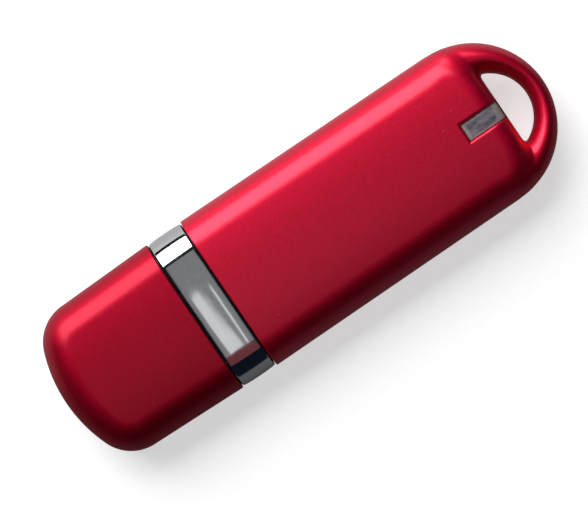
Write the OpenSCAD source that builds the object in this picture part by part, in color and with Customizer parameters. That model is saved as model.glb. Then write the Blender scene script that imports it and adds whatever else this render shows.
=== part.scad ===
// USB flash drive with a pull-off cap, a plated collar and a key-ring eye.
// It lies flat on its underside: X along its length with the plug towards -X,
// Y across, Z up. The origin is at the middle of its footprint, on the surface it lies on.
// All sizes are in millimetres.

/* [Overall] */
// Length with the cap on
total_l = 66.5; // [66:0.25:68]
// Width at the collar
body_w = 20; // [19.8:0.1:21]
// Thickness
body_t = 8; // [8:0.1:8.6]
// Radius of the long rounded edges
edge_r = 3.6; // [3.4:0.1:3.8]

/* [Cap] */
// Length of the cap
cap_l = 17.9; // [17.8:0.05:18.4]
// Radius of the gentle curve across the cap's end
cap_end_r = 18; // [16:0.5:22]
// Radius of the two corners of the cap's end
cap_corner_r = 5; // [4.6:0.1:5.2]
// Width of the cap just before its corners
cap_end_w = 19.3; // [19.1:0.1:19.6]
// How far the cap pulls off
cap_travel = 30; // [20:1:40]

/* [Collar] */
// Length of the plated band that shows between the cap and the shells
band_l = 4.45; // [4.2:0.05:4.8]
// How far the band lies below the painted skin
band_inset = 0.13; // [0.1:0.01:0.2]
// Shadow gap on each side of the band
band_gap = 0.12; // [0.1:0.01:0.2]
// Length of the spigot that enters the cap
spigot_l = 2; // [1.6:0.1:2.2]

/* [Key-ring eye] */
// Radius of the eye's outer rim
eye_rim_r = 9.8; // [9.7:0.05:9.85]
// Thickness of the eye, rounded all round
eye_t = 4.6; // [4.2:0.1:5]
// Distance from the far end back to the straight side of the hole
eye_straight = 6; // [5.8:0.1:6.2]
// Material left at the far end of the hole
eye_web = 2.6; // [2.4:0.1:2.8]
// Radius of the hole's curved side
eye_hole_r = 5.05; // [4.9:0.05:5.2]

/* [USB plug] */
// Width of the metal shell
plug_w = 12; // [11.9:0.05:12.1]
// Height of the metal shell
plug_h = 4.5; // [4.4:0.05:4.6]
// Length of the metal shell
plug_l = 18.75; // [18.5:0.05:18.8]
// Thickness of the sheet it is folded from
plug_sheet = 0.3; // [0.25:0.01:0.32]

/* [Hidden] */
$fn = 48;
EPS = 0.01;

half_t = body_t / 2;
half_l = total_l / 2;
tip_x = -half_l;
end_x = half_l;
mouth_x = tip_x + cap_l;
band_front_x = mouth_x + band_gap;
band_back_x = band_front_x + band_l;
shell_front_x = band_back_x + band_gap;
spigot_front_x = band_front_x - spigot_l;
hole_x = end_x - eye_straight;

// the skins narrow a little from the collar towards both ends
skin_front_hw = body_w / 2;
skin_back_hw = skin_front_hw - 0.14;
cap_mouth_hw = skin_front_hw - 0.03;
cap_end_hw = cap_end_w / 2;

// rear corners of the thick part, which are quarter ellipses in plan
corner_x = hole_x - 3;
corner_y = 5.4;
// how far the flat top is drawn in at the end wall above the hole
end_round = 1.2;
// steps of the rounded edge, in degrees
edge_step = 15;

wall = 1.2;
cavity_w = body_w - 2.6;
cavity_h = body_t - 2 * wall;
cavity_r = edge_r - wall;
cavity_wide_end_x = corner_x + 0.15;
cavity_end_x = hole_x - 1.45;
cavity_end_w = 12;

// screwless assembly: four pins of the upper shell sit in sockets of the lower one
boss_r = 0.8;
boss_h = 2.72;
pin_r = 0.45;
socket_r = 0.47;
pin_l = 1.2;
boss_spots = [[-5.5, 8], [-5.5, -8], [20.6, 8], [20.6, -8]];

// plug
plug_tip_x = tip_x + 2.95;
plug_back_x = plug_tip_x + plug_l;
plug_bore_w = plug_w + 0.1;
plug_bore_h = plug_h + 0.1;
plug_floor_z = half_t - plug_h / 2 + plug_sheet;
window_l = 2.4;
window_w = 2.1;
window_from_tip = 5.2;
window_y = 2.9;
tongue_top_z = half_t;
tongue_w = 10.6;
tongue_tip_x = plug_tip_x + 0.7;
plug_base_x = plug_back_x - 5.4;
contact_w = 1;
contact_t = 0.22;
contact_proud = 0.04;
contact_y = [-3.5, -1, 1, 3.5];

// cap's inside
cap_spigot_w = body_w - 2.4;
cap_spigot_h = body_t - 2.2;
cap_spigot_depth = spigot_l + 0.3;
liner_w = 14.8;
liner_h = 5.6;
liner_front_x = mouth_x - cap_spigot_depth;
liner_back_x = tip_x + 3.85;
liner_fit = 0.03;
liner_pocket_w = plug_w + 0.3;
liner_pocket_h = plug_h + 0.3;
nose_x = tip_x + 2.65;

// collar
spigot_w = cap_spigot_w - 0.2;
spigot_h = cap_spigot_h - 0.2;
spigot_r = 2.2;
tenon_l = 2.6;
tenon_w = cavity_w - 0.2;
tenon_h = cavity_h - 0.2;
tenon_back_x = band_back_x + tenon_l;
catch_w = 6;
catch_l = 0.6;
catch_h = 0.3;
catch_x = tenon_back_x - 1.3;

// light guide
guide_x = hole_x - 5.1;
guide_w = 2.3;
guide_fit = 0.06;
guide_recess = 0.28;
guide_end_recess = 0.12;
guide_bar_t = 1.1;
guide_end_t = 1.1;
guide_foot_l = 1.8;
guide_foot_z = 4.9;
guide_sill_z = half_t + 0.2;

// circuit board and what is on it
board_t = 0.8;
board_top_z = 3.8;
board_bottom_z = board_top_z - board_t;
board_front_x = plug_back_x + 0.15;
board_neck_x = tenon_back_x + 0.2;
board_back_x = hole_x - 3.45;
board_neck_w = 11.2;
board_w = 13.4;
flash_x = 8;
flash_l = 18.4;
flash_w = 12;
flash_t = 1;
flash_span = 20;
controller_x = 1.6;
controller_side = 7;
controller_t = 1.4;
controller_span = 9;
lead_pitch = 0.5;
lead_w = 0.22;
lead_t = 0.13;
standoff = 0.1;
crystal_x = 10.6;
regulator_x = 17.2;
led_x = guide_x + guide_foot_l / 2;
chip_parts = [
    // x, y, turned by: the small two-ended parts on the board
    [7.4, 3.6, 0], [7.4, -3.6, 0], [14.2, 4.6, 90], [14.2, -4.4, 90],
    [20.2, 3.9, 0], [-5.4, 4.2, 90], [-5.4, -4.2, 90], [20.2, -3.9, 0]
];
resistor_parts = [[-5.6, 1.4, 90], [-5.6, -1.4, 90], [10.6, 4.8, 0], [10.6, -4.8, 0], [20.4, 1.6, 90]];

// ---------------------------------------------------------------- outlines

function arc_points(cx, cy, rx, ry, from, to, steps) =
    [for (i = [0:steps]) let (a = from + (to - from) * i / steps) [cx + rx * cos(a), cy + ry * sin(a)]];

function mirrored(points) = [for (i = [len(points) - 1:-1:0]) [points[i][0], -points[i][1]]];

// Thick part of the drive in plan: side is how far the long sides are drawn in, end the same at the end wall
function body_outline(side, end) = let (
    lower = concat(
        [[shell_front_x, side - skin_front_hw]],
        arc_points(corner_x, -corner_y, hole_x - end - corner_x, skin_back_hw - side - corner_y, -90, 0, 8)
    )
) concat(lower, mirrored(lower));

// The cap in plan, drawn in by inset all round except at its flat mouth
cap_corner_cy = cap_end_hw - cap_corner_r;
cap_corner_dx = sqrt(pow(cap_end_r - cap_corner_r, 2) - pow(cap_corner_cy, 2));
cap_corner_cx = tip_x + cap_end_r - cap_corner_dx;
cap_meet_a = atan2(cap_corner_cy, cap_corner_dx);
function cap_outline(inset) = let (
    upper = concat(
        [[mouth_x, cap_mouth_hw - inset]],
        arc_points(cap_corner_cx, cap_corner_cy, cap_corner_r - inset, cap_corner_r - inset, 90, 180 - cap_meet_a, 8),
        arc_points(tip_x + cap_end_r, 0, cap_end_r - inset, cap_end_r - inset, 180 - cap_meet_a * 0.75, 180, 3)
    )
) concat(upper, [for (p = mirrored(upper)) if (p[1] < 0) p]);

// The ring round the key-ring hole in plan, starting inside the thick part
function eye_outline(inset) =
    arc_points(end_x - eye_rim_r, 0, eye_rim_r - inset, eye_rim_r - inset, -90, 90, 24);

// Height of the slice at angle a of a skin's rounded edge
function edge_slice_z(a) =
    a > 0 ? body_t - edge_r + edge_r * sin(a) - EPS : a < 0 ? edge_r + edge_r * sin(a) : half_t;

// ---------------------------------------------------------------- shared shapes

module rounded_rectangle(w, h, r) {
    square([w - 2 * r, h], center = true);
    square([w, h - 2 * r], center = true);
    for (x = [-1, 1], y = [-1, 1]) translate([x * (w / 2 - r), y * (h / 2 - r)]) circle(r = r);
}

// A bar along X with a rounded rectangular section, w across and h high, at mid-thickness
module bar(from_x, to_x, w, h, r) {
    translate([from_x, 0, half_t]) rotate([90, 0, 90])
        linear_extrude(to_x - from_x) rounded_rectangle(w, h, r);
}

module block(from, to) {
    translate(from) cube(to - from);
}

module slice(z, points) {
    translate([0, 0, z]) linear_extrude(EPS) polygon(points);
}

// Thick part of the drive with its long edges rounded, both halves
module body_skin() {
    hull() for (a = [-90:edge_step:90])
        slice(edge_slice_z(a), body_outline(edge_r * (1 - cos(a)), end_round * (1 - cos(a))));
}

// Rounded ring round the key-ring hole, both halves
module eye_ring() {
    rim = eye_t / 2;
    hull() for (a = [-90:edge_step:90])
        slice(half_t + rim * sin(a) - EPS / 2, eye_outline(rim * (1 - cos(a))));
}

module eye_hole() {
    translate([0, 0, -1]) linear_extrude(body_t + 2) intersection() {
        translate([end_x - eye_web - eye_hole_r, 0]) circle(r = eye_hole_r);
        translate([hole_x, -body_w / 2]) square([eye_straight, body_w]);
    }
}

module cavity() {
    bar(shell_front_x - 1, cavity_wide_end_x, cavity_w, cavity_h, cavity_r);
    bar(corner_x - 2, cavity_end_x, cavity_end_w, cavity_h, cavity_r);
}

// Outside, cavity, hole and collar catches shared by the two shells, as the upper one
module half_shell() {
    difference() {
        union() {
            body_skin();
            eye_ring();
        }
        block([shell_front_x - 1, -body_w, -1], [end_x + 1, body_w, half_t]);
        cavity();
        eye_hole();
        block([catch_x - 0.1, -catch_w / 2 - 0.1, half_t + cavity_h / 2 - 0.3],
            [catch_x + catch_l + 0.1, catch_w / 2 + 0.1, half_t + cavity_h / 2 + catch_h]);
    }
}

// Two rails that hold the board from one side, from its face to the cavity's roof or floor
module board_rails(from_z, to_z) {
    for (x = [-6.6, 19.2], side = [-1, 1])
        translate([x, side * 6.1 - 0.4, from_z]) cube([1.6, 0.8, to_z - from_z]);
}

module gull_lead(reach, body_side_h) {
    // foot on the board, riser, and the shoulder that enters the package; drawn in X and Z
    polygon([
        [0, body_side_h], [0, body_side_h + lead_t], [reach * 0.45, body_side_h + lead_t],
        [reach * 0.62, lead_t], [reach, lead_t], [reach, 0], [reach * 0.5, 0],
        [reach * 0.35, body_side_h]
    ]);
}

// A row of gull-wing leads leaving a package towards +X, centred on Y
module lead_row(count, start_x, reach, side_h) {
    for (i = [0:count - 1])
        translate([start_x, (i - (count - 1) / 2) * lead_pitch + lead_w / 2, 0])
            rotate([90, 0, 0]) linear_extrude(lead_w) gull_lead(reach, side_h);
}

module chip_part(l, w, h) {
    translate([-l / 2, -w / 2, 0]) cube([l, w, h]);
}

// ---------------------------------------------------------------- cap

module cap_shell() {
    color("crimson") difference() {
        hull() for (a = [-90:edge_step:90]) slice(edge_slice_z(a), cap_outline(edge_r * (1 - cos(a))));
        bar(mouth_x - cap_spigot_depth, mouth_x + 1, cap_spigot_w, cap_spigot_h, 2.3);
        bar(liner_back_x - liner_fit, mouth_x, liner_w + 2 * liner_fit, liner_h + 2 * liner_fit, 1.2);
        bar(nose_x, mouth_x, liner_pocket_w, liner_pocket_h, 0.6);
    }
}

module cap_liner() {
    rib_h = 0.1;
    color("gainsboro") {
        difference() {
            bar(liner_back_x, liner_front_x - liner_fit, liner_w, liner_h, 1.17);
            bar(liner_back_x - 1, liner_front_x + 1, liner_pocket_w, liner_pocket_h, 0.6);
            // slits that free a spring finger in the roof and the floor
            for (side = [-1, 1], z = [0, body_t - 2.2])
                translate([liner_front_x - 7, side * 2 - 0.25, z]) cube([8, 0.5, 2.2]);
        }
        // grip ribs along the two fingers
        for (z = [half_t - liner_pocket_h / 2 - 0.1, half_t + liner_pocket_h / 2 - rib_h])
            translate([liner_front_x - 6.5, -0.6, z]) cube([6, 1.2, rib_h + 0.1]);
    }
}

// ---------------------------------------------------------------- shells

module upper_shell() {
    color("crimson") {
        difference() {
            half_shell();
            // slot for the light guide: through the roof and down the end wall
            block([guide_x - guide_fit, -guide_w / 2 - guide_fit, half_t + 1],
                [cavity_end_x, guide_w / 2 + guide_fit, body_t + 1]);
            block([cavity_end_x - 1, -guide_w / 2 - guide_fit, guide_sill_z],
                [hole_x + 1, guide_w / 2 + guide_fit, body_t + 1]);
        }
        for (p = boss_spots) {
            translate([p[0], p[1], half_t]) cylinder(r = boss_r, h = boss_h);
            translate([p[0], p[1], half_t - pin_l]) cylinder(r = pin_r, h = pin_l + 0.5);
        }
        board_rails(board_top_z, half_t + cavity_h / 2 + 0.1);
    }
}

module lower_shell() {
    color("crimson") difference() {
        union() {
            translate([0, 0, body_t]) mirror([0, 0, 1]) half_shell();
            for (p = boss_spots)
                translate([p[0], p[1], half_t - boss_h]) cylinder(r = boss_r, h = boss_h);
            board_rails(half_t - cavity_h / 2 - 0.1, board_bottom_z);
        }
        for (p = boss_spots)
            translate([p[0], p[1], half_t - pin_l - 0.2]) cylinder(r = socket_r, h = pin_l + 1);
    }
}

// ---------------------------------------------------------------- collar and light guide

module collar() {
    color("silver") difference() {
        union() {
            bar(band_front_x, band_back_x, body_w - 2 * band_inset, body_t - 2 * band_inset, edge_r - band_inset);
            bar(spigot_front_x, band_front_x + 1, spigot_w, spigot_h, spigot_r);
            bar(band_back_x - 1, tenon_back_x, tenon_w, tenon_h, cavity_r - 0.1);
            for (side = [-1, 1])
                translate([catch_x, -catch_w / 2, half_t + side * (tenon_h / 2 + catch_h / 2 - 0.1) - 0.15])
                    cube([catch_l, catch_w, catch_h]);
        }
        bar(spigot_front_x - 1, tenon_back_x + 1, plug_bore_w, plug_bore_h, 0.65);
    }
}

// A bar under the slot, a foot that comes down over the LED, and an end that follows the
// end wall down to the sill; drawn from the side
module light_guide() {
    top_z = body_t - guide_recess;
    round_x = hole_x - end_round;
    round_z = body_t - edge_r;
    end_rx = end_round - guide_end_recess;
    inner_x = round_x + end_rx - guide_end_t;
    color([0.8, 0.8, 0.82, 0.6]) translate([0, guide_w / 2, 0]) rotate([90, 0, 0])
        linear_extrude(guide_w) polygon(concat(
            [[guide_x, top_z]],
            arc_points(round_x, round_z, end_rx, edge_r - guide_recess, 90, 0, 8),
            [
                [round_x + end_rx, guide_sill_z + guide_fit], [inner_x, guide_sill_z + guide_fit],
                [inner_x, top_z - guide_bar_t], [guide_x + guide_foot_l, top_z - guide_bar_t],
                [guide_x + guide_foot_l, guide_foot_z], [guide_x, guide_foot_z]
            ]
        ));
}

// ---------------------------------------------------------------- plug

module plug_shell() {
    tab_l = 2.2;
    color("lightsteelblue") {
        difference() {
            bar(plug_tip_x, plug_back_x, plug_w, plug_h, 0.6);
            bar(plug_tip_x - 1, plug_back_x + 1, plug_w - 2 * plug_sheet, plug_h - 2 * plug_sheet, 0.3);
            // latch windows, two in the roof and two in the floor
            for (y = [-window_y, window_y])
                translate([plug_tip_x + window_from_tip, y - window_w / 2, 0]) cube([window_l, window_w, body_t]);
            // seam where the folded sheet meets underneath
            translate([plug_tip_x - 1, -0.04, 0]) cube([plug_l + 2, 0.08, half_t - 1]);
        }
        // solder tabs either side of the board
        for (side = [-1, 1])
            translate([plug_back_x - 0.5, side * (plug_w / 2 - plug_sheet / 2) - plug_sheet / 2, 2.7])
                cube([tab_l + 0.5, plug_sheet, 1.7]);
    }
}

module plug_insulator() {
    inside_w = plug_w - 2 * plug_sheet - 0.06;
    inside_h = plug_h - 2 * plug_sheet - 0.06;
    color("white") difference() {
        union() {
            bar(plug_base_x, plug_back_x - 0.05, inside_w, inside_h, 0.25);
            block([tongue_tip_x, -tongue_w / 2, plug_floor_z + 0.03], [plug_base_x + 1, tongue_w / 2, tongue_top_z]);
        }
        for (y = contact_y)
            translate([contact_start(y) - 0.03, y - contact_w / 2 - 0.02, tongue_top_z - contact_t + contact_proud - 0.02])
                cube([plug_l + 4, contact_w + 0.04, contact_t + 0.04]);
    }
}

// The two outer contacts make first, so they reach nearer the tip
function contact_start(y) = plug_tip_x + (abs(y) > 2 ? 1.4 : 2.4);

module plug_contacts() {
    color("gold") for (y = contact_y)
        block([contact_start(y), y - contact_w / 2, tongue_top_z - contact_t + contact_proud],
            [plug_back_x + 1.9, y + contact_w / 2, tongue_top_z + contact_proud]);
}

module solder_joints() {
    tail_x = plug_back_x + 1.95;
    color("gray") for (y = contact_y)
        translate([tail_x, y + contact_w / 2, board_top_z]) rotate([90, 0, 0])
            linear_extrude(contact_w) polygon([[0, 0], [0.7, 0], [0.25, 0.08], [0, 0.22]]);
}

// ---------------------------------------------------------------- board and its parts

module circuit_board() {
    color("darkgreen") {
        block([board_front_x, -board_neck_w / 2, board_bottom_z], [board_neck_x + 1, board_neck_w / 2, board_top_z]);
        block([board_neck_x, -board_w / 2, board_bottom_z], [board_back_x, board_w / 2, board_top_z]);
    }
}

module flash_chip() {
    top = board_bottom_z - standoff;
    color("dimgray") difference() {
        block([flash_x - flash_l / 2, -flash_w / 2, top - flash_t], [flash_x + flash_l / 2, flash_w / 2, top]);
        translate([flash_x - flash_l / 2 + 1.2, flash_w / 2 - 1.2, top - flash_t - 1]) cylinder(r = 0.5, h = 1.1);
    }
}

module flash_leads() {
    color("silver") translate([flash_x, 0, board_bottom_z]) mirror([0, 0, 1])
        for (turn = [0, 180]) rotate([0, 0, turn])
            lead_row(24, flash_l / 2 + 0.01, (flash_span - flash_l) / 2, standoff + flash_t / 2);
}

module controller_chip() {
    side = controller_side / 2;
    bottom = board_top_z + standoff;
    color("dimgray") difference() {
        block([controller_x - side, -side, bottom], [controller_x + side, side, bottom + controller_t]);
        translate([controller_x - side + 0.9, side - 0.9, bottom + controller_t - 0.1]) cylinder(r = 0.35, h = 1);
    }
}

module controller_leads() {
    color("silver") translate([controller_x, 0, board_top_z])
        for (turn = [0, 90, 180, 270]) rotate([0, 0, turn])
            lead_row(12, controller_side / 2 + 0.01, (controller_span - controller_side) / 2, standoff + 0.6);
}

module crystal() {
    color("lightgray") translate([crystal_x, 0, board_top_z]) {
        translate([-1.6, -2.5, 0]) cube([3.2, 5, 0.35]);
        translate([0, 0, 0.3]) linear_extrude(0.65) rounded_rectangle(2.8, 4.6, 0.5);
    }
}

module status_led() {
    color("ivory") translate([led_x, 0, board_top_z]) {
        chip_part(0.8, 1.6, 0.3);
        translate([0, 0, 0.25]) chip_part(0.7, 1.1, 0.4);
    }
}

module capacitors() {
    color("tan") for (p = chip_parts)
        translate([p[0], p[1], board_top_z]) rotate([0, 0, p[2]]) chip_part(1.6, 0.8, 0.8);
}

module resistors() {
    color("black") for (p = resistor_parts)
        translate([p[0], p[1], board_top_z]) rotate([0, 0, p[2]]) chip_part(1, 0.5, 0.35);
}

module voltage_regulator() {
    color("dimgray") translate([regulator_x, 0, board_top_z + standoff]) chip_part(1.3, 2.9, 1);
}

module regulator_leads() {
    color("silver") translate([regulator_x, 0, board_top_z]) {
        for (y = [-0.95, 0.95]) translate([0.66, y + 0.2, 0]) rotate([90, 0, 0])
            linear_extrude(0.4) gull_lead(0.5, 0.5);
        mirror([1, 0, 0]) translate([0.66, 0.2, 0]) rotate([90, 0, 0])
            linear_extrude(0.4) gull_lead(0.5, 0.5);
    }
}

cap_shell();
cap_liner();
upper_shell();
lower_shell();
collar();
light_guide();
plug_shell();
plug_insulator();
plug_contacts();
solder_joints();
circuit_board();
flash_chip();
flash_leads();
controller_chip();
controller_leads();
crystal();
status_led();
capacitors();
resistors();
voltage_regulator();
regulator_leads();
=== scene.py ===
# %% [markdown]
# # A satin red USB flash drive
#
# The drive is a painted plastic stick with a pull-off cap, a bright plated collar between cap and
# body, and a key-ring eye at its far end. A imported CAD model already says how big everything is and
# how the cap slides. This notebook loads it as a fixed frame and then dresses it: the outer pieces
# are modelled again with smooth skins, and every piece gets a finish made of nodes.

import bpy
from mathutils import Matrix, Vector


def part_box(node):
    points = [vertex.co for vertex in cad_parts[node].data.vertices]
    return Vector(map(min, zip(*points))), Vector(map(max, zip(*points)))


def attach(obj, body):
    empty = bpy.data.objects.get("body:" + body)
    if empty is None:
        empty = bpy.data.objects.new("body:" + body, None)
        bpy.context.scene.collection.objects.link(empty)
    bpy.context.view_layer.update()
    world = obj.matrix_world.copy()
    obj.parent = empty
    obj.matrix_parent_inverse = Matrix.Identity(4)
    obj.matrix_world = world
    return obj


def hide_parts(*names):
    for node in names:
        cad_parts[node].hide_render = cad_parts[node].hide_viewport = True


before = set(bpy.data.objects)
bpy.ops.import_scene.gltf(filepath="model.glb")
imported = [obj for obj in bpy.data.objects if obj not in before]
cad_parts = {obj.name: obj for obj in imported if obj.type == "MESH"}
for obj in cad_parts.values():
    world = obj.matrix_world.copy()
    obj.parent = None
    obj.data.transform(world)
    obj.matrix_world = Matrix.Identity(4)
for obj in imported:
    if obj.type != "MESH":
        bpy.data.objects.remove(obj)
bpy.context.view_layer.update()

# %% [markdown]
# The real drive is small, so its sizes are easiest to think of in millimetres. Blender works in
# metres here, so meshes are made in millimetres and scaled once, when they become objects. The
# positions along the drive come from the frame's own boxes.

# %% Places along the drive, in millimetres
import math

import bmesh
import bpy
import numpy as np
from mathutils import Matrix, Quaternion, Vector

MM = 0.001


def span(node, axis):
    """Lowest and highest millimetre of a CAD node along an axis."""
    low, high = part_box(node)
    return low[axis] / MM, high[axis] / MM


TIP_X, MOUTH_X = span("cap_shell", 0)
SHELL_X, END_X = span("upper_shell", 0)
TOP_Z = span("upper_shell", 2)[1]
MID_Z = TOP_Z / 2
HOLE_X = END_X - 6
EDGE_R = 3.6
print(f"cap {TIP_X:.2f} to {MOUTH_X:.2f}, shells {SHELL_X:.2f} to {END_X:.2f}, thickness {TOP_Z:.2f}")

# %% [markdown]
# ## A skin from a field
#
# The painted pieces are soft moulded forms: every edge is a broad round, and the eye grows out of
# the body. Rounded boxes with bevels would leave a seam where such rounds meet. A field avoids it.
# It is a function that tells how far a point is outside the form, negative inside. Two fields can
# be overlapped or merged with a round edge between them, so a few lines describe the whole form.

# %% Overlap and merge fields with a round edge
def overlap(a, b, radius):
    """Field of what is inside both, with a round edge of that radius where they meet."""
    corner = np.hypot(np.maximum(a + radius, 0), np.maximum(b + radius, 0))
    return corner + np.minimum(np.maximum(a, b), -radius)


def merge(a, b, radius):
    """Field of what is inside either, with a fillet of that radius where they meet."""
    return -overlap(-a, -b, radius)


FLAT_HALF = 6.4


def crown_drop(y, crown):
    """How far a crowned face has fallen at y. It falls faster towards the end of the flat."""
    return crown * (abs(y) / FLAT_HALF) ** 2.5


def faces_of(y, z, crown):
    """The flat faces. The top one is very slightly crowned, as moulders do against sink marks."""
    return np.maximum(z - TOP_Z + crown_drop(y, crown), -z)


# %% [markdown]
# The cap in plan is a slightly tapered strip, closed by a shallow arc of radius 18 with corner arcs
# of radius 5. Strip and arc don't meet at a right angle, so the corner arc's own centre is worked
# out and used in the wedge where the corner is the nearest thing. The overlap of that outline with
# the faces rounds the long edges.

# %% Field of the cap
END_R, CORNER_R = 18, 5
TIP_HALF, MOUTH_HALF = 9.65, 9.97
CORNER_Y = TIP_HALF - CORNER_R
CORNER_DX = math.sqrt((END_R - CORNER_R) ** 2 - CORNER_Y ** 2)
CROWN = 0.25


def cap_field(x, y, z, crown=CROWN):
    back, aside = TIP_X + END_R - x, np.abs(y)
    strip = aside - np.interp(x, [TIP_X + 6, MOUTH_X], [TIP_HALF, MOUTH_HALF])
    arc = np.hypot(back, y) - END_R
    corner = np.hypot(back - CORNER_DX, aside - CORNER_Y) - CORNER_R
    nearest_is_corner = (back > CORNER_DX) & (aside * CORNER_DX > back * CORNER_Y)
    plan = np.where(nearest_is_corner, corner, np.maximum(strip, arc))
    return overlap(plan, faces_of(y, z, crown), EDGE_R)


# %% [markdown]
# The body is a strip too. Its end is squarer than the cap's, with 4 mm corners, and its upper edge
# there is tighter, about 2 mm. The eye is a thinner ring with a domed section and a
# D-shaped hole, whose straight side is the body's end wall. The two are merged with a fillet that
# fades away along the sides, where the ring is sunk in the body and a fillet would only swell it.

# %% Field of the body with its eye
RIM_R = 9.8
RIM_X = END_X - RIM_R
RING_W, RING_T = 2.4, 5.2
HOLE_R = 5.05
END_EDGE = 2.1


def hole_field(x, y):
    """The D-shaped hole in plan. Its arc sits a hair towards -Y."""
    arc = np.hypot(x - (END_X - RING_W - HOLE_R), y + 0.1) - HOLE_R
    return overlap(arc, HOLE_X - x, 0.7)


def smooth_step(value, low, high):
    """Rise softly from 0 to 1 between two values."""
    t = np.clip((value - low) / (high - low), 0, 1)
    return t * t * (3 - 2 * t)


def body_field(x, y, z, crown=CROWN):
    strip = np.abs(y) - np.interp(x, [SHELL_X, HOLE_X - 3], [10.0, 9.86])
    plan = overlap(strip, x - HOLE_X, 4.2)
    end_edge = END_EDGE + 0.8 * smooth_step(np.abs(y), 3, 8)
    edge = EDGE_R + (end_edge - EDGE_R) * smooth_step(x, HOLE_X - 6, HOLE_X - 0.5)
    thick = overlap(plan, faces_of(y, z, crown), edge)
    rim = np.where(x < RIM_X, np.abs(y), np.hypot(x - RIM_X, y)) - RIM_R
    from_edge = overlap(rim, -hole_field(x, y), 2.2)
    # The dome is elliptical over its outer 1.9 mm. The 1.6 brings the field back to about millimetres.
    dome = (np.hypot(np.maximum(1 + from_edge / 1.9, 0), (z - MID_Z) / (RING_T / 2)) - 1) * 1.6
    ring = overlap(dome, HOLE_X - 7.5 - x, 2.0)
    fillet = 0.02 + 0.58 * smooth_step(x, HOLE_X - 4.2, HOLE_X - 1.5)
    # The fillet may fill the corner between the two, but not grow past their outlines in plan.
    outlines = np.minimum(plan, np.maximum(rim, HOLE_X - 6 - x))
    return np.maximum(merge(thick, ring, fillet), outlines)


# %% [markdown]
# ## From field to mesh
#
# The surface is where the field is zero. Space is cut into small cells, each cell that the surface
# crosses gets one vertex, and neighbours are joined into quads. The vertices then relax among their
# neighbours and slide down the field's slope until they lie on the surface itself, which leaves an
# even net of quads that shades without ripples.

# %% Build the net of quads
def slope(field, points, reach=0.01):
    """Which way the field rises at each point, and how fast."""
    sides = [field(*(points + step).T) - field(*(points - step).T) for step in np.eye(3) * reach]
    return np.stack(sides, 1) / (2 * reach)


def settle(field, points, rounds=3):
    """Move points onto the surface."""
    for _ in range(rounds):
        rise = slope(field, points)
        steepness = np.maximum((rise ** 2).sum(1), 0.2)
        points = points - (field(*points.T) / steepness)[:, None] * rise
    return points


def relax(points, quads):
    """Move each point halfway to the middle of its neighbours."""
    start = np.concatenate([quads[:, i] for i in range(4)] + [quads[:, i] for i in range(4)])
    end = np.concatenate([quads[:, (i + 1) % 4] for i in range(4)] + [quads[:, i - 1] for i in range(4)])
    count = np.bincount(start, minlength=len(points))
    middle = [np.bincount(start, points[end, i], len(points)) / count for i in range(3)]
    return (points + np.stack(middle, 1)) / 2


def net(field, low, high, step):
    """Points and quads of a field's surface inside a box, in millimetres."""
    axes = [np.arange(a, b + step, step) for a, b in zip(low, high)]
    inside = field(*np.meshgrid(*axes, indexing="ij")) < 0
    near, far = slice(None, -1), slice(1, None)
    corners = sum(
        inside[i, j, k].astype(int) for i in (near, far) for j in (near, far) for k in (near, far)
    )
    crossed = (corners > 0) & (corners < 8)
    number = np.full(crossed.shape, -1)
    number[crossed] = np.arange(crossed.sum())
    points = np.argwhere(crossed) * step + np.array(low) + step / 2
    quads = []
    for axis in range(3):
        along, cells = np.moveaxis(inside, axis, 0), np.moveaxis(number, axis, 0)
        i, j, k = np.argwhere(along[:-1, 1:-1, 1:-1] != along[1:, 1:-1, 1:-1]).T
        around = [cells[i, j, k], cells[i, j + 1, k], cells[i, j + 1, k + 1], cells[i, j, k + 1]]
        quads.append(np.stack(around, 1))
    quads = np.concatenate(quads)
    points = settle(field, points)
    for _ in range(3):
        points = settle(field, relax(points, quads), 2)
    return points, quads


# %% [markdown]
# A net becomes a bmesh, which is Blender's mesh for editing. The cap and the shells are then cut
# square where they meet their neighbours. A real moulding has no knife edge there: the tool leaves
# a tiny chamfer, which is what draws the fine dark line round the parting. The cut is made in two
# steps, one to remove what is beyond and one just inside it, so that only the rim is pushed in. The
# cut itself takes the piece's second material, the bare black plastic, so the joint shows dark.

# %% Turn nets into bmeshes and trim them
NET_STEP = 0.25
SHARP_DEG = 28


def as_bmesh(points, faces):
    """A bmesh of points and faces, with its faces turned outwards."""
    shape = bmesh.new()
    vertices = [shape.verts.new(p) for p in points]
    for face in faces:
        shape.faces.new([vertices[i] for i in face])
    bmesh.ops.recalc_face_normals(shape, faces=shape.faces[:])
    return shape


def trim(shape, field, point, normal, chamfer=0.09):
    """Remove what is beyond a plane, break the rim's edge and close the cut."""
    everything = shape.verts[:] + shape.edges[:] + shape.faces[:]
    bmesh.ops.bisect_plane(shape, geom=everything, plane_co=point, plane_no=normal, clear_outer=True)
    inner = Vector(point) - Vector(normal) * chamfer
    everything = shape.verts[:] + shape.edges[:] + shape.faces[:]
    bmesh.ops.bisect_plane(shape, geom=everything, plane_co=inner, plane_no=normal)
    rim = [e for e in shape.edges if e.is_boundary]
    corners = list({v for e in rim for v in e.verts})
    places = np.array([v.co for v in corners])
    rise = slope(field, places)
    rise -= np.outer(rise @ np.array(normal), normal)
    # Only corners on the skin are pushed in. Those inside the cut stay where they are.
    push = np.where(np.abs(field(*places.T)) < 0.03, chamfer * 0.7, 0)
    for vertex, place in zip(corners, places - push[:, None] * rise):
        vertex.co = place
    for made in bmesh.ops.triangle_fill(shape, edges=rim, use_beauty=True)["geom"]:
        if isinstance(made, bmesh.types.BMFace):
            made.material_index = 1
    bmesh.ops.recalc_face_normals(shape, faces=shape.faces[:])


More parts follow.
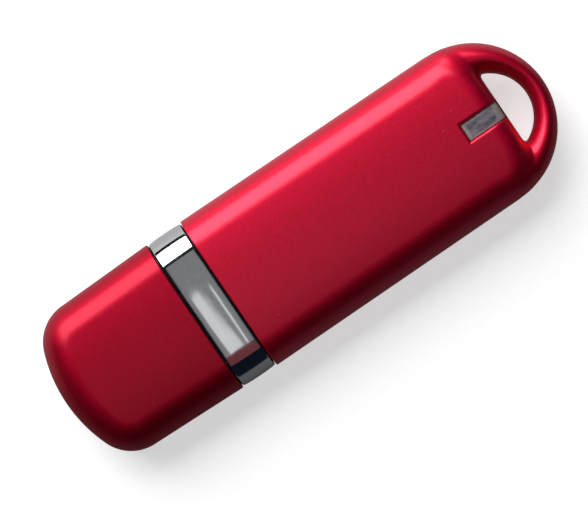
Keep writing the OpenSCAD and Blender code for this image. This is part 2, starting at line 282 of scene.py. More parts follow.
def finish_piece(name, shape, body, *materials, sharp=SHARP_DEG):
    """Make an object of a bmesh that is in millimetres, and let it ride on its body."""
    bmesh.ops.scale(shape, vec=(MM, MM, MM), verts=shape.verts[:])
    mesh = bpy.data.meshes.new(name)
    shape.to_mesh(mesh)
    shape.free()
    mesh.shade_smooth()
    mesh.set_sharp_from_angle(angle=math.radians(sharp))
    for material in materials:
        mesh.materials.append(material)
    made = bpy.data.objects.new(name, mesh)
    bpy.context.scene.collection.objects.link(made)
    if body:
        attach(made, body)
    print(f"{name}: {len(mesh.polygons)} faces")
    return made


# %% [markdown]
# ## Hollows, slots and bores
#
# Moulded pieces are hollow. The room inside is taken out with a boolean, which subtracts one closed
# mesh from another and gives the new walls the cutter's own material, so the paint stays outside
# and the bare plastic shows inside. It also leaves many-sided faces, which are split afterwards.
# Most cutters are bars with a rounded rectangular section, made by joining rings of points.

# %% Rings, tubes and cutting
CORNER_STEPS = 12
FLAT_STEPS = 16


def ring(x, width, height, radius, crown=0.0):
    """Points round a rounded rectangle that stands across the drive at x, with the faces' crown."""
    points = []
    side_z = height / 2 - radius
    for turn, (sign_y, sign_z) in enumerate([(1, 1), (-1, 1), (-1, -1), (1, -1)]):
        centre_y, centre_z = sign_y * (width / 2 - radius), sign_z * side_z
        for step in range(CORNER_STEPS + 1):
            angle = math.radians(90 * (turn + step / CORNER_STEPS))
            points.append((centre_y + radius * math.cos(angle), centre_z + radius * math.sin(angle)))
        next_y, next_z = [(-1, 1), (-1, -1), (1, -1), (1, 1)][turn]
        first = math.radians(90 * (turn + 1))
        end = (
            next_y * (width / 2 - radius) + radius * math.cos(first),
            next_z * side_z + radius * math.sin(first),
        )
        start = points[-1]
        for step in range(1, FLAT_STEPS):
            t = step / FLAT_STEPS
            points.append((start[0] + (end[0] - start[0]) * t, start[1] + (end[1] - start[1]) * t))
    fade = [min(max((z + side_z) / (2 * side_z), 0), 1) for _, z in points]
    return [(x, y, MID_Z + z - crown_drop(y, crown) * f) for (y, z), f in zip(points, fade)]


def tube(rings, closed=False, mirrored=False):
    """Join rings into a skin. A closed one meets its own start, an open one gets two ends.

    The ends are single faces, or strips across from side to side where a bent ring's halves mirror."""
    shape = bmesh.new()
    rows = [[shape.verts.new(p) for p in row] for row in rings]
    pairs = list(zip(rows, rows[1:])) + ([(rows[-1], rows[0])] if closed else [])
    for row, following in pairs:
        for i in range(len(row)):
            shape.faces.new([row[i - 1], row[i], following[i], following[i - 1]])
    for row in [] if closed else (rows[0], rows[-1]):
        if mirrored:
            for i in range(len(row) // 2 - 1):
                shape.faces.new([row[i], row[i + 1], row[-2 - i], row[-1 - i]])
        else:
            shape.faces.new(row)
    bmesh.ops.recalc_face_normals(shape, faces=shape.faces[:])
    return shape


def block(low, high, round_r=0.0):
    """A closed box between two corners, its upright edges rounded in plan."""
    shape = bmesh.new()
    bmesh.ops.create_cube(shape, size=1)
    middle, size = (Vector(low) + Vector(high)) / 2, Vector(high) - Vector(low)
    bmesh.ops.transform(shape, verts=shape.verts[:], matrix=Matrix.LocRotScale(middle, None, size))
    if round_r:
        upright = [e for e in shape.edges if abs(e.verts[0].co.z - e.verts[1].co.z) > 1e-6]
        bmesh.ops.bevel(shape, geom=upright, offset=round_r, segments=4, affect="EDGES", profile=0.5)
    return shape


def split_faces(mesh):
    """Join corners that coincide, and split many-sided faces so that none of them folds over."""
    shape = bmesh.new()
    shape.from_mesh(mesh)
    bmesh.ops.remove_doubles(shape, verts=shape.verts[:], dist=1e-8)
    bmesh.ops.triangulate(shape, faces=[f for f in shape.faces if len(f.verts) > 4])
    shape.to_mesh(mesh)
    shape.free()


def cut(made, cutters):
    """Subtract cutters from an object for good, all in one pass, and remove them."""
    tray = bpy.data.collections.new("cutters")
    for cutter in cutters:
        tray.objects.link(cutter)
    change = made.modifiers.new("cut", "BOOLEAN")
    change.operation, change.solver, change.material_mode = "DIFFERENCE", "EXACT", "TRANSFER"
    change.operand_type, change.collection = "COLLECTION", tray
    bpy.context.view_layer.update()
    result = bpy.data.meshes.new_from_object(made.evaluated_get(bpy.context.evaluated_depsgraph_get()))
    made.modifiers.clear()
    made.data = result
    result.name = made.name
    split_faces(result)
    result.shade_smooth()
    result.set_sharp_from_angle(angle=math.radians(SHARP_DEG))
    for cutter in cutters:
        bpy.data.objects.remove(cutter)
    bpy.data.collections.remove(tray)
    print(f"{made.name} after cutting: {len(result.polygons)} faces")
    return made


# %% [markdown]
# ## Finishes
#
# Each finish is a Principled shader fed by a few pattern nodes. One small function adds a node,
# sets it up and links it, and another turns the hex colours that designers quote into the linear
# values that light is calculated in. Pattern scales are worked out from a real spacing in
# millimetres: a texture scale of 1000 / spacing repeats once per spacing when coordinates are metres.

# %% Small tools for node trees
def linear(hex_colour):
    """A designer's sRGB hex colour as linear red, green, blue and alpha."""
    parts = [int(hex_colour[i : i + 2], 16) / 255 for i in (1, 3, 5)]
    return [c / 12.92 if c <= 0.04045 else ((c + 0.055) / 1.055) ** 2.4 for c in parts] + [1.0]


def add(tree, kind, sockets=None, **settings):
    """Add a node, set its properties, and fill its sockets with values or with other nodes' outputs."""
    made = tree.nodes.new(kind)
    for name, value in settings.items():
        setattr(made, name, value)
    for socket, value in (sockets or {}).items():
        if isinstance(value, tuple) and isinstance(value[0], bpy.types.Node):
            tree.links.new(value[0].outputs[value[1]], made.inputs[socket])
        else:
            made.inputs[socket].default_value = value
    return made


def per_mm(spacing):
    """Texture scale for a pattern with that spacing in millimetres."""
    return 1000 / spacing


def new_finish(name):
    """An empty material, with its tree, its coordinates and its shader."""
    finish = bpy.data.materials.new(name)
    finish.use_nodes = True
    tree = finish.node_tree
    tree.nodes.clear()
    place = add(tree, "ShaderNodeTexCoord")
    shader = add(tree, "ShaderNodeBsdfPrincipled")
    add(tree, "ShaderNodeOutputMaterial", {"Surface": (shader, "BSDF")})
    return finish, tree, place, shader


# %% [markdown]
# ### Satin metallic lacquer
#
# The shells are moulded ABS sprayed with a crimson base coat full of fine aluminium flakes, then
# sealed with a satin clear coat. The flakes make the paint act like a tinted metal: bright where it
# faces the light and nearly black where it doesn't. Each flake tips its own way, which reads as a
# fine sparkle grain.

# %% Satin metallic lacquer on ABS
def satin_lacquer(name, dark, light, deep, clear_coat):
    finish, tree, place, shader = new_finish(name)
    # Flakes are about 0.03 mm across. They are drawn at 0.12 mm so that they show.
    flakes = add(tree, "ShaderNodeTexVoronoi", {"Vector": (place, "Object"), "Scale": per_mm(0.12)})
    clouds = add(tree, "ShaderNodeTexNoise", {
        "Vector": (place, "Object"), "Scale": per_mm(5), "Detail": 3.0})
    grain = add(tree, "ShaderNodeTexNoise", {
        "Vector": (place, "Object"), "Scale": per_mm(0.2), "Detail": 2.0})
    flake_tone = add(tree, "ShaderNodeSeparateColor", {"Color": (flakes, "Color")})
    tint = add(tree, "ShaderNodeMix", {
        0: (flake_tone, "Red"), 6: linear(dark), 7: linear(light)}, data_type="RGBA")
    depth = add(tree, "ShaderNodeMapRange", {"Value": (clouds, "Fac"), "To Min": 0.0, "To Max": 0.2})
    clean = add(tree, "ShaderNodeMix", {
        0: (depth, "Result"), 6: (tint, 2), 7: linear(deep)}, data_type="RGBA")
    # A few dust nibs, about 0.1 mm across and 3 mm apart, were caught in the wet coat.
    nibs = add(tree, "ShaderNodeTexVoronoi", {"Vector": (place, "Object"), "Scale": per_mm(3)})
    nib = add(tree, "ShaderNodeMapRange", {
        "Value": (nibs, "Distance"), "From Min": 0.015, "From Max": 0.04, "To Min": 0.5, "To Max": 0.0})
    colour = add(tree, "ShaderNodeMix", {
        0: (nib, "Result"), 6: (clean, 2), 7: linear("#FF8AA0")}, data_type="RGBA")
    tree.links.new(colour.outputs[2], shader.inputs["Base Color"])
    rough = add(tree, "ShaderNodeMapRange", {"Value": (grain, "Fac"), "To Min": 0.50, "To Max": 0.58})
    tree.links.new(rough.outputs["Result"], shader.inputs["Roughness"])
    peel = add(tree, "ShaderNodeBump", {
        "Height": (grain, "Fac"), "Strength": 0.05, "Distance": 0.02 * MM})
    tilt = add(tree, "ShaderNodeBump", {
        "Height": (flake_tone, "Green"), "Strength": 0.04, "Distance": 0.02 * MM,
        "Normal": (peel, "Normal")})
    tree.links.new(tilt.outputs["Normal"], shader.inputs["Normal"])
    tree.links.new(peel.outputs["Normal"], shader.inputs["Coat Normal"])
    shader.inputs["Metallic"].default_value = 1.0
    shader.inputs["Coat Weight"].default_value = clear_coat
    shader.inputs["Coat Roughness"].default_value = 0.28
    return finish


LACQUER = satin_lacquer("satin_metallic_lacquer_on_ABS", "#E0003A", "#F40842", "#CC0030", 0.75)
# The cap's paint is deeper and less clear-coated than the body's: painted shade for a cap that catches
# less light.
SHADED_CAP_LACQUER = satin_lacquer("satin_metallic_lacquer_on_cap_darkened_as_shade", "#BE002C", "#D00634", "#AC0026", 0.4)

# %% [markdown]
# ### Bare ABS
#
# Inside, where the spray doesn't reach, the black moulded ABS shows. Its surface copies the steel
# tool, which was spark-eroded to a fine matte texture.

# %% Moulded ABS, unpainted
def moulded_plastic(name, dark, light, rough, texture_mm=0.25, relief=0.15):
    finish, tree, place, shader = new_finish(name)
    erosion = add(tree, "ShaderNodeTexNoise", {
        "Vector": (place, "Object"), "Scale": per_mm(texture_mm), "Detail": 4.0})
    flow = add(tree, "ShaderNodeTexNoise", {
        "Vector": (place, "Object"), "Scale": per_mm(5), "Detail": 2.0})
    colour = add(tree, "ShaderNodeMix", {
        0: (flow, "Fac"), 6: linear(dark), 7: linear(light)}, data_type="RGBA")
    tree.links.new(colour.outputs[2], shader.inputs["Base Color"])
    gloss = add(tree, "ShaderNodeMapRange", {
        "Value": (erosion, "Fac"), "To Min": rough - 0.07, "To Max": rough + 0.07})
    tree.links.new(gloss.outputs["Result"], shader.inputs["Roughness"])
    pits = add(tree, "ShaderNodeBump", {
        "Height": (erosion, "Fac"), "Strength": relief, "Distance": 0.03 * MM})
    tree.links.new(pits.outputs["Normal"], shader.inputs["Normal"])
    shader.inputs["IOR"].default_value = 1.54
    return finish


BARE_ABS = moulded_plastic("moulded_black_ABS", "#1B1A1B", "#262425", 0.5)
LINER_PP = moulded_plastic("moulded_black_polypropylene", "#202021", "#2C2C2E", 0.42)
NYLON = moulded_plastic("glass_filled_nylon", "#D9D8D0", "#E6E5DE", 0.48, 0.4, 0.2)
EPOXY = moulded_plastic("epoxy_moulding_compound", "#161617", "#222224", 0.6, 0.12, 0.3)

# %% [markdown]
# ### Chrome plating on ABS
#
# The collar is ABS plated with copper, nickel and a last thin layer of chrome. It is a mirror, a
# little bluish, and because the plastic under it isn't perfectly flat the reflections wander
# slightly. That slow wander and a few finer polishing marks separate it from a perfect mirror.

# %% Electroplated chrome
def plated_metal(name, dark, light, rough_low, rough_high, wander, streak_mm=None):
    finish, tree, place, shader = new_finish(name)
    stretch = add(tree, "ShaderNodeMapping", {"Vector": (place, "Object")})
    if streak_mm:
        stretch.inputs["Scale"].default_value = (0.06, 1.0, 1.0)
    marks = add(tree, "ShaderNodeTexNoise", {
        "Vector": (stretch, "Vector"), "Scale": per_mm(streak_mm or 0.5), "Detail": 4.0})
    waves = add(tree, "ShaderNodeTexNoise", {
        "Vector": (place, "Object"), "Scale": per_mm(3.5), "Detail": 1.0})
    colour = add(tree, "ShaderNodeMix", {
        0: (marks, "Fac"), 6: linear(dark), 7: linear(light)}, data_type="RGBA")
    tree.links.new(colour.outputs[2], shader.inputs["Base Color"])
    gloss = add(tree, "ShaderNodeMapRange", {
        "Value": (marks, "Fac"), "To Min": rough_low, "To Max": rough_high})
    tree.links.new(gloss.outputs["Result"], shader.inputs["Roughness"])
    swell = add(tree, "ShaderNodeBump", {
        "Height": (waves, "Fac"), "Strength": wander, "Distance": 0.1 * MM})
    tree.links.new(swell.outputs["Normal"], shader.inputs["Normal"])
    shader.inputs["Metallic"].default_value = 1.0
    return finish


CHROME = plated_metal("electroplated_chrome_on_ABS", "#DADCE0", "#ECEEF1", 0.05, 0.11, 0.12)
NICKEL = plated_metal("nickel_plated_steel", "#B9B6B0", "#D2CFC9", 0.2, 0.34, 0.06, 0.25)
GOLD = plated_metal("gold_flash_on_bronze", "#D8A64A", "#E8BE6A", 0.18, 0.3, 0.05, 0.2)
TIN = plated_metal("tinned_copper", "#B4B4B2", "#CDCDCB", 0.28, 0.42, 0.1, 0.3)
WELDED_LID = plated_metal("welded_steel_lid", "#A9A8A2", "#C4C3BD", 0.22, 0.36, 0.1, 0.35)

# %% [markdown]
# ### Frosted polycarbonate
#
# The small strip by the eye is a light guide of clear polycarbonate with a frosted face. Clear
# plastic over a dark inside looks smoky grey, and the frosting scatters light in soft mottles with
# a slight drag along the strip from the polished tool.

# %% Frosted polycarbonate
GUIDE_X, GUIDE_W = span("light_guide", 0)[0], 2.14


def frosted_polycarbonate():
    finish, tree, place, shader = new_finish("frosted_polycarbonate")
    drag = add(tree, "ShaderNodeMapping", {"Vector": (place, "Object"), "Scale": (0.35, 1.0, 1.0)})
    mottle = add(tree, "ShaderNodeTexNoise", {
        "Vector": (drag, "Vector"), "Scale": per_mm(0.7), "Detail": 4.0, "Roughness": 0.65})
    frost = add(tree, "ShaderNodeTexNoise", {
        "Vector": (place, "Object"), "Scale": per_mm(0.15), "Detail": 2.0})
    cloud = add(tree, "ShaderNodeMapRange", {
        "Value": (mottle, "Fac"), "From Min": 0.36, "From Max": 0.64})
    smoke = add(tree, "ShaderNodeMix", {
        0: (cloud, "Result"), 6: linear("#4C4750"), 7: linear("#A29CA6")}, data_type="RGBA")
    # The cut sides and the part where the strip turns down are painted paler: a painted highlight on the
    # strip's borders.
    parts = add(tree, "ShaderNodeSeparateXYZ", {"Vector": (place, "Object")})
    aside = add(tree, "ShaderNodeMath", {0: (parts, "Y")}, operation="ABSOLUTE")
    side = add(tree, "ShaderNodeMapRange", {
        "Value": (aside, 0), "From Min": (GUIDE_W / 2 - 0.42) * MM, "From Max": (GUIDE_W / 2 - 0.12) * MM})
    turn = add(tree, "ShaderNodeMapRange", {
        "Value": (parts, "X"), "From Min": (HOLE_X - 1.3) * MM, "From Max": (HOLE_X - 0.9) * MM})
    start = add(tree, "ShaderNodeMapRange", {
        "Value": (parts, "X"), "From Min": (GUIDE_X + 0.6) * MM, "From Max": (GUIDE_X + 0.25) * MM})
    ends = add(tree, "ShaderNodeMath", {0: (turn, "Result"), 1: (start, "Result")}, operation="MAXIMUM")
    highlight_border = add(tree, "ShaderNodeMath", {0: (ends, 0), 1: (side, "Result")}, operation="MAXIMUM")
    painted_edge_highlight = add(tree, "ShaderNodeMath", {0: (highlight_border, 0), 1: 0.55}, operation="MULTIPLY")
    colour = add(tree, "ShaderNodeMix", {
        0: (painted_edge_highlight, 0), 6: (smoke, 2), 7: linear("#D8D4CC")}, data_type="RGBA")
    tree.links.new(colour.outputs[2], shader.inputs["Base Color"])
    gloss = add(tree, "ShaderNodeMapRange", {"Value": (frost, "Fac"), "To Min": 0.28, "To Max": 0.45})
    tree.links.new(gloss.outputs["Result"], shader.inputs["Roughness"])
    bite = add(tree, "ShaderNodeBump", {
        "Height": (frost, "Fac"), "Strength": 0.25, "Distance": 0.03 * MM})
    tree.links.new(bite.outputs["Normal"], shader.inputs["Normal"])
    shader.inputs["IOR"].default_value = 1.585
    shader.inputs["Transmission Weight"].default_value = 0.25
    return finish


FROSTED = frosted_polycarbonate()

# %% [markdown]
# ### What is on the board
#
# The board is glass-fibre laminate under green solder mask. The mask pools slightly over the copper
# tracks, so they show as paler lines in a gently raised pattern. The small parts are ceramic with
# tinned ends, black glass over ceramic, and the pale resin of the light.

# %% Solder mask over laminate
def solder_mask():
    finish, tree, place, shader = new_finish("green_solder_mask_on_FR4")
    tracks = add(tree, "ShaderNodeTexBrick", {
        "Vector": (place, "Object"), "Scale": per_mm(1.0), "Brick Width": 2.6, "Row Height": 0.7,
        "Color1": (0, 0, 0, 1), "Color2": (0.15, 0.15, 0.15, 1), "Mortar": (1, 1, 1, 1),
        "Mortar Size": 0.12})
    pooling = add(tree, "ShaderNodeTexNoise", {
        "Vector": (place, "Object"), "Scale": per_mm(1.4), "Detail": 3.0})
    colour = add(tree, "ShaderNodeMix", {
        0: (tracks, "Fac"), 6: linear("#0D4A26"), 7: linear("#1F7040")}, data_type="RGBA")
    tree.links.new(colour.outputs[2], shader.inputs["Base Color"])
    gloss = add(tree, "ShaderNodeMapRange", {"Value": (pooling, "Fac"), "To Min": 0.18, "To Max": 0.34})
    tree.links.new(gloss.outputs["Result"], shader.inputs["Roughness"])
    raised = add(tree, "ShaderNodeBump", {
        "Height": (tracks, "Fac"), "Strength": 0.4, "Distance": 0.04 * MM})
    tree.links.new(raised.outputs["Normal"], shader.inputs["Normal"])
    shader.inputs["IOR"].default_value = 1.5
    return finish


SOLDER_MASK = solder_mask()
CERAMIC = moulded_plastic("fired_ceramic", "#8A6A48", "#A88660", 0.45, 0.1, 0.25)
BLACK_GLASS = moulded_plastic("black_glass_on_ceramic", "#121213", "#1C1C1E", 0.25, 0.3, 0.1)
LED_RESIN = moulded_plastic("clear_resin_over_white", "#E6E1C4", "#F2EFDC", 0.3, 0.3, 0.1)

# %% [markdown]
# ## The cap
#
# The cap is one moulding. The skin comes from its field, cut square at the mouth, and the hollow is
# stepped: a wide shallow step that the collar's spigot enters, then the seat of the liner, then a
# nose for the tip of the plug.

# %% Cap shell
def bar(x_from, x_to, width, height, radius, material):
    """A cutter: a rounded bar along the drive."""
    ends = [ring(x, width, height, radius) for x in (x_from, x_to)]
    return finish_piece("cutter", tube(ends), None, material)


shape = as_bmesh(*net(cap_field, (TIP_X - 0.6, -10.6, -0.6), (MOUTH_X + 1.5, 10.6, TOP_Z + 0.6), NET_STEP))
trim(shape, cap_field, (MOUTH_X, 0, 0), (1, 0, 0))
# The cap wears the lacquer darkened as painted shade.
cap = finish_piece("cap_moulding", shape, "cap", SHADED_CAP_LACQUER, BARE_ABS)
LINER_FRONT, LINER_BACK = span("cap_liner", 0)
cut(cap, [
    bar(LINER_BACK, MOUTH_X + 1, 17.6, 5.8, 2.3, BARE_ABS),
    bar(LINER_FRONT - 0.03, MOUTH_X + 0.9, 14.86, 5.66, 1.2, BARE_ABS),
    bar(TIP_X + 2.65, MOUTH_X + 0.8, 12.3, 4.8, 0.6, BARE_ABS),
])
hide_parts("cap_shell")

# %% [markdown]
# ## The two shells
#
# The body splits along its middle. Both halves come from one field, trimmed at the collar and then
# at the parting plane, and hollowed by the same cutter. The upper half also has the slot that the
# light guide fills, which runs down over the end wall. No two cutters share a plane, because a
# boolean can't tell which side of such a face is inside.

# %% Upper and lower shell
ROOM_W, ROOM_H, ROOM_R = 17.4, 5.6, 2.4


def slot_cutter():
    """A bar that runs along the top and down the end wall, flared where it comes out of the skin."""
    steps, edge = 8, END_EDGE
    flare = [
        (-edge + 0.05, 0), (-0.34, 0), (-0.22, 0.02), (-0.12, 0.07), (-0.05, 0.15), (0, 0.28), (0.1, 0.55)]
    half = GUIDE_W / 2 + 0.04

    def section(place):
        right = [(*place(depth, out), half + out) for depth, out in flare]
        return [(x, y, z) for x, z, y in right] + [(x, -y, z) for x, z, y in reversed(right)]

    rows = [section(lambda depth, out: (GUIDE_X - 0.06 - out, TOP_Z + depth))]
    rows.append(section(lambda depth, out: (GUIDE_X + 1, TOP_Z + depth)))
    for i in range(steps + 1):
        lean = math.radians(90 * i / steps)
        rows.append(section(lambda depth, out: (
            HOLE_X - edge + (edge + depth) * math.sin(lean),
            TOP_Z - edge + (edge + depth) * math.cos(lean))))
    rows.append(section(lambda depth, out: (HOLE_X + depth, MID_Z + 0.2)))
    return tube(rows, mirrored=True)


def half_shell(name, upper):
    def field(x, y, z):
        return body_field(x, y, z, CROWN if upper else 0.0)

    up = 1 if upper else -1
    low = (SHELL_X - 1.5, -10.6, -0.6)
    shape = as_bmesh(*net(field, low, (END_X + 0.6, 10.6, TOP_Z + 0.6), NET_STEP))
    trim(shape, field, (SHELL_X, 0, 0), (-1, 0, 0))
    trim(shape, field, (0, 0, MID_Z), (0, 0, -up), 0.07)
    made = finish_piece(name, shape, "drive", LACQUER, BARE_ABS)
    cutters = [
        bar(SHELL_X - 1, HOLE_X - 2.85, ROOM_W, ROOM_H, ROOM_R, BARE_ABS),
        bar(HOLE_X - 5, HOLE_X - 1.45, 12, 5.54, ROOM_R, BARE_ABS),
    ]
    if upper:
        cutters.append(finish_piece("cutter", slot_cutter(), None, LACQUER))
    cut(made, cutters)
    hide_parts(name.replace("_moulding", "_shell"))


half_shell("upper_moulding", True)
half_shell("lower_moulding", False)

# %% [markdown]
# ## The collar
#
# The collar is one plated moulding: a spigot that the cap slides over, the visible band, and a
# tenon gripped by the shells, all bored through for the plug. It is a mirror, so its rings are
# placed one by one: a long flat, then quarter rounds at both edges of the band. The faces in the
# narrow gaps beside the band get the bare black plastic finish: painted shade for those gaps.

# %% Plated collar
BAND_FRONT, BAND_BACK = MOUTH_X + 0.12, SHELL_X - 0.12
SPIGOT_X, TENON_X = span("collar", 0)
BAND_W, BAND_H, BAND_R = 19.84, 7.84, 3.52
BARREL, FRONT_ROUND, BACK_ROUND = 0.08, 0.28, 0.22
SPIGOT_W, SPIGOT_H = 17.4, 5.6
TENON_W, TENON_H, TENON_R = 17.2, 5.4, 2.3
BORE_W, BORE_H = 12.1, 4.6


def quarter(x_edge, x_sign, radius, steps=7):
    """Rings of the band's rounded edge, from the edge inwards along the band."""
    turns = [math.radians(90 * i / steps) for i in range(steps + 1)]
    rows = []
    for turn in turns:
        inset = BARREL + radius * (1 - math.sin(turn))
        x = x_edge + x_sign * radius * (1 - math.cos(turn))
        rows.append(ring(x, BAND_W - 2 * inset, BAND_H - 2 * inset, BAND_R - inset, CROWN))
    return rows


spigot = [(SPIGOT_X, 17.16, 5.36, 2.08)]
spigot += [(x, SPIGOT_W, SPIGOT_H, 2.2) for x in (SPIGOT_X + 0.12, BAND_FRONT - 0.3, BAND_FRONT)]
tenon = [(x, TENON_W, TENON_H, TENON_R) for x in (BAND_BACK, BAND_BACK + 0.3, TENON_X)]
bore = [(x, BORE_W, BORE_H, 0.65) for x in (TENON_X, SPIGOT_X + 0.15)] + [(SPIGOT_X, 12.4, 4.9, 0.8)]
FLAT_FRONT, FLAT_BACK, FLAT_ROWS = BAND_FRONT + FRONT_ROUND, BAND_BACK - BACK_ROUND, 16
flat_xs = [FLAT_FRONT + (FLAT_BACK - FLAT_FRONT) * i / FLAT_ROWS for i in range(1, FLAT_ROWS)]
BAND_MID = (FLAT_FRONT + FLAT_BACK) / 2
flat = []
for x in flat_xs:
    drop = BARREL * abs((x - BAND_MID) / (FLAT_BACK - BAND_MID)) ** 3
    flat.append(ring(x, BAND_W - 2 * drop, BAND_H - 2 * drop, BAND_R - drop, CROWN))
rings = [ring(*r) for r in spigot] + quarter(BAND_FRONT, 1, FRONT_ROUND) + flat
rings += quarter(BAND_BACK, -1, BACK_ROUND)[::-1] + [ring(*r) for r in tenon + bore]
collar = finish_piece("plated_collar", tube(rings, closed=True), "drive", CHROME)
collar.data.materials.append(BARE_ABS)
# Faces in the narrow gaps beside the band take the bare black plastic as painted shade for those gaps.
for face in collar.data.polygons:
    x, y, z = face.center / MM
    beside_band = -0.29 < x - BAND_FRONT < 0.005 or -0.005 < x - BAND_BACK < 0.29
    face.material_index = int(beside_band and max(abs(y) / 6.2, abs(z - MID_Z) / 2.4) > 1)
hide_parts("collar")

# %% [markdown]
# ## The light guide
#
# Seen from the side the guide is a hook: a bar under the slot, a foot that comes down over the
# light, and an end that follows the end wall. It is drawn as that outline, pushed out to its width,
# and the edges round its two sides are rounded a little, as polished clear mouldings are.

# %% Light guide
def light_guide():
    sunk_x, sunk_z, foot_z, end_z = 0.12, 0.36, 4.9, MID_Z + 0.26
    end_x, top = HOLE_X - sunk_x, TOP_Z - sunk_z
    round_x, round_z = END_EDGE - sunk_x, END_EDGE - sunk_z
    arc = [math.radians(90 - 90 * i / 10) for i in range(11)]
    outline = [(GUIDE_X, top)]
    outline += [(end_x - round_x * (1 - math.cos(t)), top - round_z * (1 - math.sin(t))) for t in arc]
    outline += [(end_x, end_z), (end_x - 1.1, end_z), (end_x - 1.1, top - 1)]
    outline += [(GUIDE_X + 1.8, top - 1), (GUIDE_X + 1.8, foot_z), (GUIDE_X, foot_z)]
    shape = bmesh.new()
    side = shape.faces.new([shape.verts.new((x, -GUIDE_W / 2, z)) for x, z in outline])
    grown = bmesh.ops.extrude_face_region(shape, geom=[side])
    moved = [v for v in grown["geom"] if isinstance(v, bmesh.types.BMVert)]
    bmesh.ops.translate(shape, verts=moved, vec=(0, GUIDE_W, 0))
    bmesh.ops.recalc_face_normals(shape, faces=shape.faces[:])
    rims = [e for e in shape.edges if abs(e.verts[0].co.y - e.verts[1].co.y) < 1e-6]
    bmesh.ops.bevel(shape, geom=rims, offset=0.1, segments=3, affect="EDGES", profile=0.5)
    return finish_piece("light_guide_strip", shape, "drive", FROSTED, sharp=50)


guide = light_guide()
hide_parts("light_guide")

# %% [markdown]
# ## The plug
#
# The plug's shell is steel sheet folded round a former, so its corners are rounded inside and out,
# its lip is rolled in a touch to find the port, and a seam runs along the underside. Two latch
# windows are punched in each broad face.

# %% Plug shell
PLUG_TIP, PLUG_BACK = span("plug_insulator", 0)[0] - 0.7, span("plug_insulator", 0)[1] + 0.05
PLUG_W, PLUG_H, SHEET = 12, 4.5, 0.3


def plug_shell():
    outer = [(PLUG_BACK, 0), (PLUG_TIP + 1.1, 0), (PLUG_TIP + 0.45, 0.05), (PLUG_TIP + 0.12, 0.12)]
    rows = [ring(x, PLUG_W - 2 * inset, PLUG_H - 2 * inset, 0.6) for x, inset in outer]
    rows += [ring(PLUG_TIP, PLUG_W - 0.44, PLUG_H - 0.44, 0.5)]
    inner = [(PLUG_TIP + 0.05, 0.36), (PLUG_TIP + 0.6, 0.33), (PLUG_TIP + 1.2, SHEET), (PLUG_BACK, SHEET)]
    rows += [ring(x, PLUG_W - 2 * inset, PLUG_H - 2 * inset, 0.35) for x, inset in inner]
    made = finish_piece("plug_sheet", tube(rows, closed=True), "drive", NICKEL)
    windows = []
    for y in (-2.9, 2.9):
        for low_z, high_z in ((-0.5, MID_Z - 1.5), (MID_Z + 1.5, TOP_Z + 0.5)):
            punch = block((PLUG_TIP + 5.2, y - 1.05, low_z), (PLUG_TIP + 7.6, y + 1.05, high_z), 0.2)
            windows.append(finish_piece("cutter", punch, None, NICKEL))
    seam = block((PLUG_TIP - 1, -0.04, MID_Z - 3), (PLUG_BACK + 1, 0.04, MID_Z - 1.8))
    windows.append(finish_piece("cutter", seam, None, NICKEL))
    return cut(made, windows)


plug = plug_shell()
tabs = bmesh.new()
for side in (-1, 1):
    y_mid = side * (PLUG_W / 2 - SHEET / 2)
    part = block((PLUG_BACK - 0.3, y_mid - SHEET / 2, 2.7), (PLUG_BACK + 2.2, y_mid + SHEET / 2, 4.4), 0.1)
    loose = bpy.data.meshes.new("tab")
    part.to_mesh(loose)
    part.free()
    tabs.from_mesh(loose)
solder_tabs = finish_piece("plug_solder_tabs", tabs, "drive", NICKEL)
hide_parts("plug_shell")

# %% [markdown]
# ## The pieces that the frame already shapes well
#
# Inside, the CAD pieces have their true shapes, so they stay and only get their finishes.

# %% Give the inner pieces their finishes
INNER = {
    "cap_liner": LINER_PP, "plug_insulator": NYLON, "plug_contacts": GOLD, "solder_joints": TIN,
    "circuit_board": SOLDER_MASK, "flash_chip": EPOXY, "flash_leads": TIN, "controller_chip": EPOXY,
    "controller_leads": TIN, "crystal": WELDED_LID, "status_led": LED_RESIN, "capacitors": CERAMIC,
    "resistors": BLACK_GLASS, "voltage_regulator": EPOXY, "regulator_leads": TIN,
}
for node_name, finish in INNER.items():
    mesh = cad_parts[node_name].data
    mesh.materials.clear()
    mesh.materials.append(finish)
print(len(INNER), "inner pieces finished")

# %% [markdown]
# ## Table, light and camera
#
# The drive lies on a plain pale table that glows a little, so that its own shadow stays soft and
# everything round the drive reads as white.

# %% Pale table
def pale_table():
    finish, tree, place, shader = new_finish("matt_opal_acrylic")
    speck = add(tree, "ShaderNodeTexNoise", {
        "Vector": (place, "Object"), "Scale": per_mm(0.8), "Detail": 3.0})
    # Seen in reflections only, the table is painted dark: a tenth as bright on the -Y side, rising to four
    # tenths 12 mm onto the +Y side. This painted shade stands in for the table's shadow beside the drive,
    # and keeps the drive's edges dark as a black card just out of view would.
    ray = add(tree, "ShaderNodeLightPath")
    parts = add(tree, "ShaderNodeSeparateXYZ", {"Vector": (place, "Object")})
    glossy_shade = add(tree, "ShaderNodeMapRange", {
        "Value": (parts, "Y"), "From Min": 0.0, "From Max": 12 * MM, "To Min": 0.1, "To Max": 0.4})
    shown = add(tree, "ShaderNodeMix", {0: (ray, "Is Glossy Ray"), 2: 1.0, 3: (glossy_shade, "Result")})
    pale = add(tree, "ShaderNodeMix", {
        0: (speck, "Fac"), 6: linear("#EAEAEA"), 7: linear("#F0F0F0")}, data_type="RGBA")
    colour = add(tree, "ShaderNodeMix", {0: (shown, 0), 6: (0, 0, 0, 1), 7: (pale, 2)}, data_type="RGBA")
    tree.links.new(colour.outputs[2], shader.inputs["Base Color"])
    tree.links.new(colour.outputs[2], shader.inputs["Emission Color"])
    shader.inputs["Emission Strength"].default_value = 0.7
    shader.inputs["Roughness"].default_value = 0.7
    shader.inputs["Specular IOR Level"].default_value = 0.2
    return finish


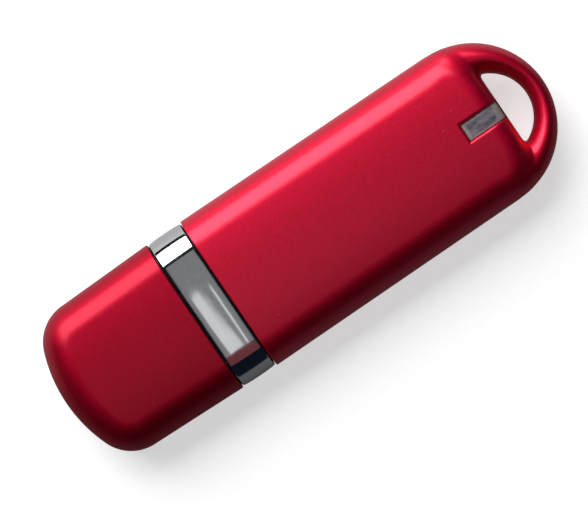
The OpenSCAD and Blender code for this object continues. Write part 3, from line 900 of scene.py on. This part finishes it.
shape = bmesh.new()
bmesh.ops.create_grid(shape, x_segments=8, y_segments=8, size=900)
bmesh.ops.translate(shape, verts=shape.verts[:], vec=(0, 0, -0.02))
table = finish_piece("table_top", shape, None, pale_table())

# %% [markdown]
# One large soft box stands low on the +Y side and draws the long bright band along the rounded
# edge. The others are small and weak. They are what the chrome mirrors: a grey ceiling, a pale card
# and a narrow strip for the two bright wedges on its flat, and a warm card for the reddish end. The
# room is nearly black and a little blue, and the -Y side is left dark, which gives the paint depth.

# %% Soft lights
def soft_light(name, centre, aim, width, height, brightness, colour="#FFFFFF", turn=0):
    """A rectangular soft box. Brightness is what its face sends out, so a bigger box gives more light."""
    lamp = bpy.data.lights.new(name, "AREA")
    lamp.shape, lamp.size, lamp.size_y = "RECTANGLE", width, height
    lamp.energy = brightness * math.pi * width * height
    lamp.color = linear(colour)[:3]
    made = bpy.data.objects.new(name, lamp)
    made.location = centre
    facing = (Vector(aim) - Vector(centre)).to_track_quat("-Z", "Y")
    made.rotation_euler = (facing @ Quaternion((0, 0, 1), math.radians(turn))).to_euler()
    made.visible_camera = False
    bpy.context.scene.collection.objects.link(made)


soft_light("key_soft_box", (-0.05, 0.55, 0.43), (0, 0, 0.004), 0.72, 0.64, 4.3)
soft_light("ceiling_card", (-0.05, 0.035, 0.92), (-0.05, 0.035, 0), 0.42, 0.51, 0.22)
soft_light("collar_card", (-0.1, -0.088, 0.9), (-0.1, -0.088, 0), 0.12, 0.24, 0.5, turn=8)
soft_light("collar_strip", (0.035, -0.09, 0.9), (0.035, -0.09, 0), 0.03, 0.23, 0.6)
soft_light("warm_card", (-0.04, -0.265, 0.57), (-0.013, 0, 0), 0.34, 0.26, 0.2, colour="#E0706E")
world = bpy.data.worlds.new("dim_room")
world.use_nodes = True
world.node_tree.nodes["Background"].inputs["Color"].default_value = linear("#5E7090")
world.node_tree.nodes["Background"].inputs["Strength"].default_value = 0.04
bpy.context.scene.world = world
bpy.context.scene.view_settings.view_transform = "Standard"

# %% [markdown]
# The camera looks straight down from 30 cm with a long lens, so the drive keeps its proportions,
# and it is rolled so that the drive lies slanting across the view.

# %% Camera
lens = bpy.data.cameras.new("copy_stand_camera")
lens.lens, lens.sensor_width = 158.9, 36
lens.clip_start, lens.clip_end = 0.01, 10
camera = bpy.data.objects.new("copy_stand_camera", lens)
camera.location = (-0.0009, 0.0040, 0.304)
camera.rotation_euler = [math.radians(a) for a in (-0.839, -0.331, -34.145)]
bpy.context.scene.collection.objects.link(camera)
bpy.context.scene.camera = camera
